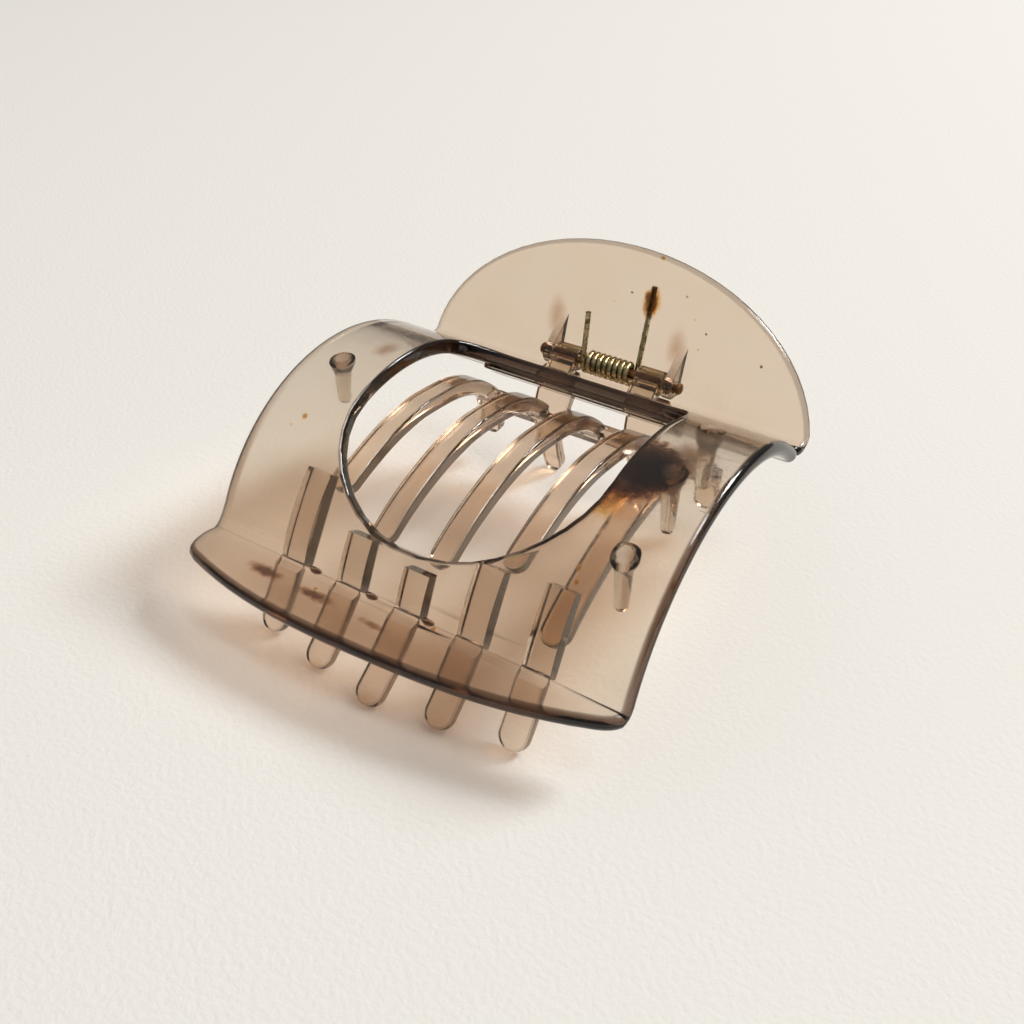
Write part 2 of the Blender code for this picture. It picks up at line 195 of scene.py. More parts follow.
def strip(width, length, thick, edge, tip, depth=0.15):
    # a flat bar that starts at y = 0, its edges rounded, with a round end where tip is set; depth sets how dark the
    # painted shade on its sides is
    bm = bmesh.new()
    bmesh.ops.create_cube(bm, size=1)
    bmesh.ops.scale(bm, vec=(width, length, thick), verts=bm.verts)
    bmesh.ops.translate(bm, vec=(0, length / 2, 0), verts=bm.verts)
    if tip:
        ends = [e for e in bm.edges if all(v.co.y > length / 2 for v in e.verts)
                and abs(e.verts[0].co.z - e.verts[1].co.z) > thick / 2]
        roundEdges(bm, ends, width * 0.49, 8)
    rims = [e for e in rimEdges(bm) if max(v.co.y for v in e.verts) > 0.01]
    roundEdges(bm, rims, edge, 4)
    paintRimShade(bm, thick / 2, -thick / 2, depth)
    return bm


def shifted(bm, x):
    bmesh.ops.translate(bm, vec=(x, 0, 0), verts=bm.verts)
    return bm


def meshOf(name, bm):
    mesh = bpy.data.meshes.new(name)
    bm.to_mesh(mesh)
    bm.free()
    piece = bpy.data.objects.new(name, mesh)
    bpy.context.scene.collection.objects.link(piece)
    return piece


def marksOf(mesh):
    bm = bmesh.new()
    bm.from_mesh(mesh)
    bmesh.ops.triangulate(bm, faces=bm.faces)
    bm.faces.ensure_lookup_table()
    return bm, bm.verts.layers.float["paintedShade"], BVHTree.FromBMesh(bm)


def combine(piece, steps):
    # joins and cuts the solids, then gives each point the painted shade of the solid whose surface it lies on
    sources = [marksOf(piece.data)]
    tools = []
    for solid, operation in steps:
        tool = meshOf("tool", solid)
        tools.append(tool)
        sources.append(marksOf(tool.data))
        cut = piece.modifiers.new("cut", 'BOOLEAN')
        cut.operation = operation
        cut.solver = 'EXACT'
        cut.object = tool
    graph = bpy.context.evaluated_depsgraph_get()
    result = bpy.data.meshes.new_from_object(piece.evaluated_get(graph))
    marks = result.attributes["paintedShade"].data
    for v in result.vertices:
        found = []
        for bm, paintedShade, tree in sources:
            hit, _, index, _ = tree.find_nearest(v.co, 0.01)
            if hit:
                corners = bm.faces[index].verts
                shares = poly_3d_calc([corner.co for corner in corners], hit)
                found.append(sum(share * corner[paintedShade] for share, corner in zip(shares, corners)))
        marks[v.index].value = min(found, default=0)
    piece.modifiers.clear()
    piece.data = result
    for tool in tools:
        bpy.data.objects.remove(tool)
    for bm, paintedShade, tree in sources:
        bm.free()


def sortParts(bm):
    # a boolean leaves its points in no fixed order, and the merge that follows depends on it
    def sortBy(parts, key):
        parts.index_update()
        order = {part.index: i for i, part in enumerate(sorted(parts, key=key))}
        parts.sort(key=lambda part: order[part.index])
        parts.index_update()

    sortBy(bm.verts, lambda v: tuple(round(value, 4) for value in v.co))
    sortBy(bm.edges, lambda e: sorted(v.index for v in e.verts))
    sortBy(bm.faces, lambda f: sorted(v.index for v in f.verts))


def finishPiece(piece, crease=32):
    # merges, scales to metres, moves to the frame and sets the sharp edges
    bm = bmesh.new()
    bm.from_mesh(piece.data)
    sortParts(bm)
    sliver = 0.004
    bmesh.ops.remove_doubles(bm, verts=bm.verts, dist=sliver)
    bmesh.ops.dissolve_degenerate(bm, edges=bm.edges, dist=sliver)
    bmesh.ops.scale(bm, vec=(mm, mm, mm), verts=bm.verts)
    bmesh.ops.translate(bm, vec=-clipMiddle * mm, verts=bm.verts)
    limit = math.radians(crease)
    for edge in bm.edges:
        edge.smooth = len(edge.link_faces) != 2 or edge.calc_face_angle(0) < limit
    for face in bm.faces:
        face.smooth = True
    bm.to_mesh(piece.data)
    bm.free()
    even = piece.modifiers.new("even", 'WEIGHTED_NORMAL')
    even.mode = 'FACE_AREA_WITH_ANGLE'
    even.weight = 80
    even.keep_sharp = True


# materials: what two of them share is a node group, placed in each with its own values

def newGroup(name, inputs, outputs):
    group = bpy.data.node_groups.new(name, 'ShaderNodeTree')
    for label, kind, value in inputs:
        socket = group.interface.new_socket(label, in_out='INPUT', socket_type=kind)
        if value is not None:
            socket.default_value = value
    for label, kind in outputs:
        group.interface.new_socket(label, in_out='OUTPUT', socket_type=kind)
    return group, group.nodes.new("NodeGroupInput").outputs, group.nodes.new("NodeGroupOutput").inputs


def maths(tree, operation, *values):
    node = tree.nodes.new("ShaderNodeMath")
    node.operation = operation
    for socket, value in zip(node.inputs, values):
        if isinstance(value, (int, float)):
            socket.default_value = value
        else:
            tree.links.new(value, socket)
    return node.outputs[0]


def vectors(tree, operation, *values):
    node = tree.nodes.new("ShaderNodeVectorMath")
    node.operation = operation
    for socket, value in zip(node.inputs, values):
        if isinstance(value, (tuple, Vector)):
            socket.default_value = value
        else:
            tree.links.new(value, socket)
    return node.outputs["Value" if operation == 'LENGTH' else "Vector"]


def noiseAt(tree, vector, scale, detail=3.0, rough=0.5):
    node = tree.nodes.new("ShaderNodeTexNoise")
    node.inputs["Detail"].default_value = detail
    node.inputs["Roughness"].default_value = rough
    if isinstance(scale, (int, float)):
        node.inputs["Scale"].default_value = scale
    else:
        tree.links.new(scale, node.inputs["Scale"])
    tree.links.new(vector, node.inputs["Vector"])
    return node.outputs["Fac"]


def spanOf(tree, value, low, high):
    node = tree.nodes.new("ShaderNodeMapRange")
    node.interpolation_type = 'SMOOTHSTEP'
    for label, given in (("Value", value), ("From Min", low), ("From Max", high)):
        if isinstance(given, (int, float)):
            node.inputs[label].default_value = given
        else:
            tree.links.new(given, node.inputs[label])
    return node.outputs["Result"]


def mixed(tree, share, first, second, blend='MIX'):
    node = tree.nodes.new("ShaderNodeMix")
    node.data_type = 'RGBA'
    node.blend_type = blend
    for socket, value in ((node.inputs[0], share), (node.inputs[6], first), (node.inputs[7], second)):
        if isinstance(value, (int, float, tuple)):
            socket.default_value = value
        else:
            tree.links.new(value, socket)
    return node.outputs[2]


def placed(mat, group, vector, values):
    node = mat.node_tree.nodes.new("ShaderNodeGroup")
    node.node_tree = group
    mat.node_tree.links.new(vector, node.inputs["Vector"])
    for label, value in values.items():
        node.inputs[label].default_value = value
    return node.outputs


# one soft-edged spot about a place, used for stains and for patches of painted shade and reflection
blotchGroup, give, take = newGroup("blotch", (
    ("Vector", 'NodeSocketVector', None), ("Place", 'NodeSocketVector', None), ("Size", 'NodeSocketVector', None),
    ("Ragged", 'NodeSocketFloat', 0.3), ("Soft", 'NodeSocketFloat', 0.5), ("Strength", 'NodeSocketFloat', 1.0)),
    (("Mask", 'NodeSocketFloat'),))
away = vectors(blotchGroup, 'DIVIDE', vectors(blotchGroup, 'SUBTRACT', give["Vector"], give["Place"]), give["Size"])
ragged = maths(blotchGroup, 'SUBTRACT', noiseAt(blotchGroup, give["Vector"], 520.0, 5.0, 0.6), 0.5)
reach = maths(blotchGroup, 'MULTIPLY_ADD', ragged, give["Ragged"], vectors(blotchGroup, 'LENGTH', away))
inner = maths(blotchGroup, 'SUBTRACT', 1.0, give["Soft"])
inside = maths(blotchGroup, 'SUBTRACT', 1.0, spanOf(blotchGroup, reach, inner, 1.0))
blotchGroup.links.new(maths(blotchGroup, 'MULTIPLY', inside, give["Strength"]), take["Mask"])

# scattered tiny marks
speckGroup, give, take = newGroup("specks", (
    ("Vector", 'NodeSocketVector', None), ("Scale", 'NodeSocketFloat', 200.0),
    ("Size", 'NodeSocketFloat', 0.1), ("Rare", 'NodeSocketFloat', 0.9)), (("Mask", 'NodeSocketFloat'),))
cells = speckGroup.nodes.new("ShaderNodeTexVoronoi")
speckGroup.links.new(give["Vector"], cells.inputs["Vector"])
speckGroup.links.new(give["Scale"], cells.inputs["Scale"])
chance = speckGroup.nodes.new("ShaderNodeSeparateColor")
speckGroup.links.new(cells.outputs["Color"], chance.inputs["Color"])
kept = maths(speckGroup, 'GREATER_THAN', chance.outputs[0], give["Rare"])
edge = maths(speckGroup, 'MULTIPLY', give["Size"], maths(speckGroup, 'ADD', chance.outputs[1], 0.4))
core = maths(speckGroup, 'MULTIPLY', edge, 0.5)
dot = maths(speckGroup, 'SUBTRACT', 1.0, spanOf(speckGroup, cells.outputs["Distance"], core, edge))
speckGroup.links.new(maths(speckGroup, 'MULTIPLY', dot, kept), take["Mask"])

# handling marks: a faint haze and fine scratches
scuffGroup, give, take = newGroup("scuffs", (
    ("Vector", 'NodeSocketVector', None), ("Scale", 'NodeSocketFloat', 60.0), ("Base", 'NodeSocketFloat', 0.03),
    ("Haze", 'NodeSocketFloat', 0.05)), (("Roughness", 'NodeSocketFloat'), ("Height", 'NodeSocketFloat')))
haze = spanOf(scuffGroup, noiseAt(scuffGroup, give["Vector"], give["Scale"], 5.0, 0.62), 0.45, 0.8)
turned = scuffGroup.nodes.new("ShaderNodeMapping")
turned.inputs["Rotation"].default_value = (0.3, 0.9, 0.5)
turned.inputs["Scale"].default_value = (1.0, 14.0, 5.0)
scuffGroup.links.new(give["Vector"], turned.inputs["Vector"])
hair = noiseAt(scuffGroup, turned.outputs["Vector"], 130.0, 2.0)
offLine = maths(scuffGroup, 'ABSOLUTE', maths(scuffGroup, 'SUBTRACT', hair, 0.5))
line = maths(scuffGroup, 'SUBTRACT', 1.0, spanOf(scuffGroup, offLine, 0.0, 0.012))
worn = maths(scuffGroup, 'MAXIMUM', haze, maths(scuffGroup, 'MULTIPLY', line, 0.5))
scuffGroup.links.new(maths(scuffGroup, 'MULTIPLY_ADD', worn, give["Haze"], give["Base"]), take["Roughness"])
ripple = noiseAt(scuffGroup, give["Vector"], 45.0, 1.0)
scuffGroup.links.new(maths(scuffGroup, 'MULTIPLY_ADD', line, -0.02, ripple), take["Height"])

# dull patches on metal
tarnishGroup, give, take = newGroup("tarnish", (
    ("Vector", 'NodeSocketVector', None), ("Scale", 'NodeSocketFloat', 400.0), ("Cover", 'NodeSocketFloat', 0.5),
    ("Bright", 'NodeSocketColor', (0.5, 0.4, 0.2, 1)), ("Dull", 'NodeSocketColor', (0.12, 0.08, 0.04, 1))),
    (("Color", 'NodeSocketColor'), ("Mask", 'NodeSocketFloat')))
patch = noiseAt(tarnishGroup, give["Vector"], give["Scale"], 6.0, 0.6)
clean = maths(tarnishGroup, 'SUBTRACT', 0.85, give["Cover"])
full = maths(tarnishGroup, 'SUBTRACT', 1.1, give["Cover"])
patchy = spanOf(tarnishGroup, patch, clean, full)
tarnishGroup.links.new(mixed(tarnishGroup, patchy, give["Bright"], give["Dull"]), take["Color"])
tarnishGroup.links.new(patchy, take["Mask"])


def bumped(mat, height, strength, distance):
    bump = mat.node_tree.nodes.new("ShaderNodeBump")
    bump.inputs["Strength"].default_value = strength
    bump.inputs["Distance"].default_value = distance
    mat.node_tree.links.new(height, bump.inputs["Height"])
    return bump.outputs["Normal"]


def blotchMask(mat, place, middle, size, ragged, soft, strength):
    return placed(mat, blotchGroup, place, {
        "Place": (Vector(middle) - clipMiddle) * mm, "Size": Vector(size) * mm,
        "Ragged": ragged, "Soft": soft, "Strength": strength})["Mask"]


def plastic(name, look, stainsAndPaintedLight):
    mat = bpy.data.materials.new(name)
    mat.use_nodes = True
    tree = mat.node_tree
    nodes = tree.nodes
    links = tree.links
    shader = nodes["Principled BSDF"]
    shader.inputs["IOR"].default_value = look["ior"]
    shader.inputs["Transmission Weight"].default_value = 1.0
    place = nodes.new("ShaderNodeTexCoord").outputs["Object"]

    cloud = spanOf(tree, noiseAt(tree, place, look["cloudScale"], 4.0), 0.35, 0.7)
    colour = mixed(tree, cloud, look["tint"], look["cloudTint"])
    paintedShade = nodes.new("ShaderNodeAttribute")
    paintedShade.attribute_name = "paintedShade"
    # painted shade: edges, the fold line, dents, pegs, the bar and the hinge parts are darkened towards near-black by
    # the mark
    colour = mixed(tree, paintedShade.outputs["Fac"], colour, look["rimShadeTint"])
    specks = maths(tree, 'MULTIPLY', placed(mat, speckGroup, place, look["specks"])["Mask"], 0.8)
    stainAndPaintedLightMask = None
    for kind, start in (("rust", specks), ("burnAndPaintedLight", None)):
        mask = start
        for blotch in stainsAndPaintedLight[kind]:
            spot = blotchMask(mat, place, *blotch)
            mask = maths(tree, 'SMOOTH_MAX', mask, spot, look["blend"]) if mask else spot
        shades = nodes.new("ShaderNodeValToRGB")
        ramp = shades.color_ramp
        ramp.elements[0].color = (1, 1, 1, 1)
        ramp.elements[0].position = 0.05
        ramp.elements[1].color = look[kind][-1][1]
        for position, shade in look[kind][:-1]:
            ramp.elements.new(position).color = shade
        links.new(mask, shades.inputs["Fac"])
        colour = mixed(tree, 1.0, colour, shades.outputs["Color"], 'MULTIPLY')
        stainAndPaintedLightMask = maths(tree, 'MAXIMUM', stainAndPaintedLightMask, mask) if stainAndPaintedLightMask else mask
    links.new(colour, shader.inputs["Base Color"])

    worn = placed(mat, scuffGroup, place, look["scuffs"])
    links.new(maths(tree, 'MULTIPLY_ADD', stainAndPaintedLightMask, 0.3, worn["Roughness"]), shader.inputs["Roughness"])
    links.new(bumped(mat, worn["Height"], look["ripple"], 0.001), shader.inputs["Normal"])

    absorb = nodes.new("ShaderNodeVolumeAbsorption")
    absorb.inputs["Color"].default_value = look["depthColour"]
    absorb.inputs["Density"].default_value = look["density"]
    passing = nodes.new("ShaderNodeBsdfTransparent")
    passing.inputs["Color"].default_value = look["shadow"]
    path = nodes.new("ShaderNodeLightPath")
    mix = nodes.new("ShaderNodeMixShader")
    out = nodes["Material Output"]
    links.new(path.outputs["Is Shadow Ray"], mix.inputs["Fac"])
    links.new(shader.outputs["BSDF"], mix.inputs[1])
    links.new(passing.outputs["BSDF"], mix.inputs[2])
    links.new(mix.outputs["Shader"], out.inputs["Surface"])
    links.new(absorb.outputs["Volume"], out.inputs["Volume"])
    return mat


def metal(name, look):
    mat = bpy.data.materials.new(name)
    mat.use_nodes = True
    tree = mat.node_tree
    shader = tree.nodes["Principled BSDF"]
    shader.inputs["Metallic"].default_value = 1.0
    place = tree.nodes.new("ShaderNodeTexCoord").outputs["Object"]
    dull = placed(mat, tarnishGroup, place, look["tarnish"])
    colour = dull["Color"]
    for blotch in look["rust"]:
        colour = mixed(tree, blotchMask(mat, place, *blotch), colour, look["rustColour"])
    tree.links.new(colour, shader.inputs["Base Color"])
    worn = placed(mat, scuffGroup, place, look["scuffs"])
    tree.links.new(maths(tree, 'MULTIPLY_ADD', dull["Mask"], 0.3, worn["Roughness"]), shader.inputs["Roughness"])
    tree.links.new(bumped(mat, worn["Height"], 0.3, 0.0002), shader.inputs["Normal"])
    return mat


smoke = {
    "tint": (0.985, 0.885, 0.775, 1),
    "cloudTint": (0.965, 0.845, 0.72, 1),
    "cloudScale": 70.0,
    # near-black colour of the painted shade on edges and hollows
    "rimShadeTint": (0.05, 0.022, 0.01, 1),
    "ior": 1.49,
    "depthColour": (0.80, 0.72, 0.64, 1),
    "shadow": (0.66, 0.57, 0.49, 1),
    "ripple": 0.12,
    "blend": 0.08,
    "specks": {"Scale": 120.0, "Size": 0.06, "Rare": 0.86},
    "scuffs": {"Scale": 60.0, "Base": 0.03, "Haze": 0.06},
    "rust": ((0.22, (0.97, 0.87, 0.66, 1)), (0.45, (0.86, 0.52, 0.14, 1)), (0.7, (0.46, 0.17, 0.035, 1)),
             (1.0, (0.08, 0.028, 0.01, 1))),
    # ramp for burns and for patches of painted shade and reflection
    "burnAndPaintedLight": ((0.2, (0.82, 0.72, 0.64, 1)), (0.42, (0.40, 0.22, 0.13, 1)), (0.6, (0.085, 0.036, 0.02, 1)),
             (0.85, (0.012, 0.006, 0.004, 1))),
}
# place, size, raggedness, softness and strength of each stain and each patch of painted shade and reflection, by the
# ramp that colours it
coverStainsAndPaintedLight = {
    "rust": (
        ((27.0, -15.6, 35.2), (4.8, 5.4, 4), 0.6, 0.7, 0.75),
        ((-8.2, 30.2, 30.2), (7.0, 5.6, 5.6), 0.3, 0.9, 0.42),
        ((11.2, 30.2, 30.2), (7.0, 5.6, 5.6), 0.3, 0.9, 0.42),
        ((-33.7, -20.8, 32.7), (0.85, 0.95, 0.9), 0.6, 0.7, 0.72),
        ((-35.5, -22.8, 31.4), (0.6, 0.5, 0.6), 0.6, 0.9, 0.4),
        ((28.3, -26.5, 28.5), (0.7, 1.0, 1.0), 0.6, 0.7, 0.62),
        ((28.9, -28.1, 27.0), (0.6, 0.7, 0.7), 0.6, 0.7, 0.6),
        ((43.8, -23.9, 30.0), (1.0, 1.6, 1.6), 0.6, 0.8, 0.7),
    ),
    "burnAndPaintedLight": (
        ((29.4, -8.0, 37.8), (9.4, 9.2, 6), 0.6, 0.6, 1.0),
        ((28.6, -12.4, 36.8), (5.8, 5.6, 4), 0.8, 0.8, 1.0),
        ((34.5, -1.4, 38.4), (6.4, 5.6, 4), 0.8, 1.0, 0.42),
        # painted shade: a broad darkening over the lip's front, where the shaded floor shows through
        ((0, -43.0, 11.0), (75, 14, 14), 0.2, 1.0, 0.23),
        # painted shade in the three dents at the fold
        ((-19.4, -36.9, 13.6), (1.6, 0.8, 0.7), 0.2, 0.4, 0.8),
        ((-6.6, -36.9, 13.6), (1.6, 0.8, 0.7), 0.2, 0.4, 0.8),
        ((5.5, -36.9, 13.6), (1.6, 0.8, 0.7), 0.2, 0.4, 0.8),
        # painted shade: the teeth and their shadow seen dark through the lip
        ((-27.5, -41.4, 13.0), (6.6, 2.2, 3), 0.8, 1.0, 0.75),
        ((-15.5, -41.6, 13.0), (8.0, 2.0, 3), 0.8, 1.0, 0.7),
        ((-2.0, -42.0, 13.0), (6.5, 1.6, 3), 0.8, 1.0, 0.55),
        # painted reflection: a grey sheen on the arch's rear left
        ((-30.6, -0.4, 38.4), (3.4, 5.0, 3), 0.6, 1.0, 0.42),
    ),
}
clawStainsAndPaintedLight = {
    "rust": (
        ((6.5, 37.0, 43.0), (2.6, 3.0, 4.6), 0.8, 0.7, 0.6),
        ((6.9, 39.4, 51.6), (0.75, 0.9, 0.6), 0.5, 0.6, 0.75),
        ((16.1, 36.6, 42.1), (0.4, 0.4, 0.2), 0.4, 0.5, 0.5),
        ((18.1, 35.1, 36.9), (0.35, 0.4, 0.2), 0.4, 0.5, 0.6),
    ),
    "burnAndPaintedLight": (
        ((6.4, 36.9, 43.0), (2.2, 2.4, 4.1), 0.8, 0.8, 0.9),
        # painted reflection of the lugs in the tab behind them
        ((-14.0, 35.2, 35.6), (3.4, 4.0, 8.0), 0.3, 1.0, 0.3),
        ((13.4, 35.2, 36.0), (3.4, 4.0, 7.0), 0.3, 1.0, 0.3),
        ((1.9, 37.2, 44.0), (0.4, 0.5, 0.3), 0.4, 0.5, 0.6),
        ((19.0, 36.0, 40.1), (0.35, 0.4, 0.3), 0.4, 0.5, 0.6),
        ((31.2, 35.1, 37.1), (0.4, 0.4, 0.4), 0.4, 0.5, 0.6),
        ((13.5, 37.8, 45.8), (0.3, 0.3, 0.3), 0.4, 0.5, 0.5),
        # dark patches over the long teeth next to the rail
        ((-13.0, 19.0, 23.0), (5.0, 6.0, 3.6), 0.9, 0.9, 0.7),
        ((1.5, 18.5, 23.0), (5.5, 6.0, 3.6), 0.9, 0.9, 0.75),
        ((17.0, 18.0, 23.2), (5.0, 6.0, 3.6), 0.9, 0.9, 0.6),
    ),
}
coverLook = {**smoke, "tint": (0.998, 0.965, 0.905, 1), "cloudTint": (0.98, 0.935, 0.855, 1), "density": 350.0}
clawLook = {**smoke, "density": 390.0}      # the density is per metre
smokePlastic = plastic("smokePlastic", coverLook, coverStainsAndPaintedLight)
clawPlastic = plastic("clawPlastic", clawLook, clawStainsAndPaintedLight)
brass = {
    "tarnish": {"Scale": 900.0, "Cover": 0.42, "Bright": (0.52, 0.44, 0.26, 1), "Dull": (0.16, 0.12, 0.06, 1)},
    "scuffs": {"Scale": 500.0, "Base": 0.2, "Haze": 0.15},
    "rustColour": (0.10, 0.045, 0.015, 1),
    "rust": (((6.8, 37.0, 43.6), (2, 4, 4.2), 0.8, 0.4, 1.0), ((-3.6, 33.2, 41.0), (2, 2, 1.2), 0.6, 0.6, 0.8)),
}
brassWire = metal("brassWire", brass)
pinMetal = metal("pinMetal", {**brass, "rust": (), "tarnish": {
    "Scale": 500.0, "Cover": 0.5, "Bright": (0.42, 0.29, 0.15, 1), "Dull": (0.17, 0.09, 0.04, 1)}})
print("materials made")


# cover: the arch, its hole, the lip, the front teeth, the pegs and the knuckles

cover = {
    "radius": 39.0, "middle": (-0.5, -0.6), "front": -69.2, "rear": 45.0, "archSteps": 58, "wall": 3.0,
    "half": 43.9, "lipMiddle": 11.0, "lipEnd": 4.3, "lipSkew": -2.5, "lipCurve": 2.6,
    "lipDrop": 0.055, "lipSpread": 2.4, "foldGap": 1.0, "foldRadius": 0.7, "foldShadeLine": 0.3,
    "cornerFoot": 0.7, "cornerReach": 2.6, "backRadius": 1.9,
    "holeHalf": 26.0, "holeFront": -32.1, "holeWidest": -12.5, "holeSkew": 1.5, "holeCurve": 0.9,
    "holeRear": 22.5, "holeCorner": 10.0, "outerEdge": 1.49, "holeEdge": 0.7, "rimShadeDepth": 0.98,
    "leftEnd": ((-44.3, 7.15), (-45.2, 6.1), (-45.65, 4.9), (-45.78, 3.5), (-45.75, 2.1), (-45.5, 0.9), (-45.0, -0.2),
                (-44.45, -1.4), (-44.1, -2.9), (-43.9, -5.0)),
}
foldPoint = arcRun(cover["middle"], cover["radius"], cover["front"], cover["front"], 1)[0]
lipTurn = Vector((-1, -cover["lipDrop"])).normalized()
archEnd = cover["front"] + cover["foldGap"]
archRun = arcRun(cover["middle"], cover["radius"], cover["rear"], archEnd, cover["archSteps"])
foldRun = roundCorner(archRun[-1], foldPoint, foldPoint + lipTurn * 4, cover["foldRadius"], 5)
lipRun = [foldPoint + lipTurn * reach for reach in (2.0, 4.0, 6.0, 8.0, 10.0, 12.0)]
coverRun = measured(archRun[:-1] + foldRun + lipRun)
foldAlong = coverRun["lengths"][cover["archSteps"] + 2]         # in the middle of the fold's turn


def archAlong(y):
    angle = math.degrees(math.asin((y - cover["middle"][0]) / cover["radius"]))
    return math.radians(cover["rear"] - angle) * cover["radius"]


def lipOutline():
    # the lip's edge from right to left, with a rounded corner at the right
    lip = []
    for i in range(25):
        t = 1 - i / 12
        out = cover["lipEnd"] + cover["lipSkew"] * t
        out += (cover["lipMiddle"] - cover["lipEnd"]) * (1 - abs(t) ** cover["lipCurve"])
        lip.append((cover["half"] * t - cover["lipSpread"] * (1 - t) / 2, foldAlong + out))
    lip = lip[:-1] + [(x, foldAlong + out) for x, out in cover["leftEnd"]]
    foot = Vector((cover["half"], foldAlong - cover["cornerFoot"]))
    control = Vector(lip[0])
    while (Vector(lip[0]) - control).length < cover["cornerReach"]:
        lip.pop(0)
    corner = []
    for i in range(6):
        t = i / 6
        corner.append(tuple(foot.lerp(control, t).lerp(control.lerp(Vector(lip[0]), t), t)))
    return corner + lip


def holeOutline():
    # the hole's front edge from left to right, then its rear edge from right to left
    front = []
    for i in range(-9, 10):
        turn = math.radians(10 * i)
        out = math.copysign(abs(math.sin(turn)) ** cover["holeCurve"], i)
        ahead = max(math.cos(turn), 0) ** cover["holeCurve"]
        reach = cover["holeFront"] - cover["holeWidest"] + cover["holeSkew"] * out
        front.append((cover["holeHalf"] * out, archAlong(cover["holeWidest"] + reach * ahead)))
    rear = []
    for side in (1, -1):
        for i in range(9):
            turn = math.radians(90 * i / 8)
            if side < 0:
                turn = math.radians(90) - turn
            x = cover["holeHalf"] - cover["holeCorner"] * (1 - math.cos(turn))
            y = cover["holeRear"] - cover["holeCorner"] * (1 - math.sin(turn))
            rear.append((side * x, archAlong(y)))
    return front, rear


def coverPlate():
    # two faces that meet at the hole's widest line, made solid
    half = cover["half"]
    front, rear = holeOutline()
    widest = archAlong(cover["holeWidest"])
    frontFace = [(-half, widest)] + front + [(half, widest)] + lipOutline()
    rearFace = [(half, widest), front[-1]] + rear + [front[0], (-half, widest), (-half, 0), (half, 0)]
    bm = plateOf([frontFace, rearFace], 0, -cover["wall"])
    for edge in backCorners(bm):
        roundEdges(bm, [edge], cover["backRadius"], 6)
    front, rear = archAlong(cover["holeFront"] - 2), archAlong(cover["holeRear"] + 1)
    inHole = lambda x, y: abs(x) < cover["holeHalf"] + 1 and rear < y < front
    roundEdges(bm, rimEdges(bm, lambda x, y: not inHole(x, y)), cover["outerEdge"], 6)
    roundEdges(bm, rimEdges(bm, inHole), cover["holeEdge"], 4)
    paintRimShade(bm, 0, -cover["wall"], cover["rimShadeDepth"])
    # paints a line of shade along the fold's crease
    bend(bm, coverRun, -1, line=(foldAlong, cover["foldShadeLine"]))
    return bm


teeth = {
    "count": 5, "pitch": 13.1, "width": 4.8, "edge": 0.5,
    "ribWidth": 5.4, "ribOuter": 36.5, "ribInner": 33.3, "ribFoot": (-31.9, 10.0), "ribShade": 0.55,
    "ribStarts": (-43.0, -55.5, -58.5, -49.5, -47.5),           # degrees from the arch's top
    "legWidth": 5.6, "legThick": 2.4, "tipThick": 1.9, "legShade": 0.4,
    "leg": ((-35.3, 12.0, 0), (-36.4, 9.9, 0.3), (-37.9, 7.6, 1.2), (-39.6, 5.2, 2.4), (-41.4, 2.8, 3.9),
            (-43.1, 0.6, 5.25)),            # y, z and how much further forward the middle leg is
}
pegs = {
    # mark is how dark the painted shade on each peg is
    "mark": 0.45,
    "places": ((-37.1, -5.6, 8.6), (33.4, -5.2, 11.3), (33.8, -21.0, 10.6), (32.3, 11.0, 10.3)),     # x, y, length
    "shape": ((2.5, -1.0), (2.5, 0.4), (2.2, 1.2), (1.75, 2.0), (1.55, 3.0), (1.25, -0.9), (0.9, -0.25), (0.0, 0.0)),
    "neck": 1.5,        # a radius under this one is placed from the peg's tip
}
dents = {
    # mark is how dark the painted shade in each dent is
    "y": -36.8, "z": 13.75, "turn": -20, "mark": 0.7,
    "places": ((-19.4, (1.5, 0.6, 0.5)), (-6.6, (1.5, 0.6, 0.5)), (5.5, (1.5, 0.6, 0.5)), (28.0, (0.7, 0.4, 0.3))),
}
bar = {"width": 44, "front": 0.6, "rear": 1.2, "middle": -3.0, "deep": 2.0, "edge": 0.4}
hinge = {
    "x": 1.6, "y": 30.2, "z": 30.2, "bore": 1.25, "boreReach": 20, "rodShade": 0.4,
    "knuckle": 2.4, "knuckles": (6.5, 12.3), "knuckleEdge": 0.35,
    "web": ((24.4, 28.8), (26.3, 27.2), (28.9, 28.2), (30.2, 32.4), (28.6, 32.0)), "webInset": 0.15, "webEdge": 0.3,
    "lugs": (12.7, 14.5), "lugRadius": 2.5, "lugTop": 37.6, "lugFoot": 27.3, "lugSunk": 0.6, "lugEdge": 0.25,
    "lugShade": 0.7,
}


def toothPlaces():
    reach = teeth["pitch"] * (teeth["count"] - 1) / 2
    for i in range(teeth["count"]):
        x = teeth["pitch"] * i - reach
        yield x, 1 - (x / reach) ** 2


def radial(degrees, radius):
    turn = math.radians(degrees)
    return Vector((math.sin(turn), math.cos(turn))) * radius


def frontRib(x, first):
    # a rib under the arch, straight below: deep at its start and gone at the fold
    top = radial(first, teeth["ribInner"])
    bottom = Vector(teeth["ribFoot"]) - Vector(cover["middle"])
    points, depths = [], []
    for i in range(9):
        under = top.lerp(bottom, i / 8)
        over = under.normalized() * teeth["ribOuter"]
        points.append(Vector(cover["middle"]) + (under + over) / 2)
        depths.append((over - under).length)
    run = measured(points)
    lengths = run["lengths"]

    def grow(along):
        i, share = placeOn(lengths, along)
        return 1, (depths[i] + (depths[i + 1] - depths[i]) * share) / teeth["legThick"]

    bm = strip(teeth["ribWidth"], lengths[-1], teeth["legThick"], teeth["edge"], False, teeth["ribShade"])
    bend(bm, run, -1, grow)
    return shifted(bm, x)


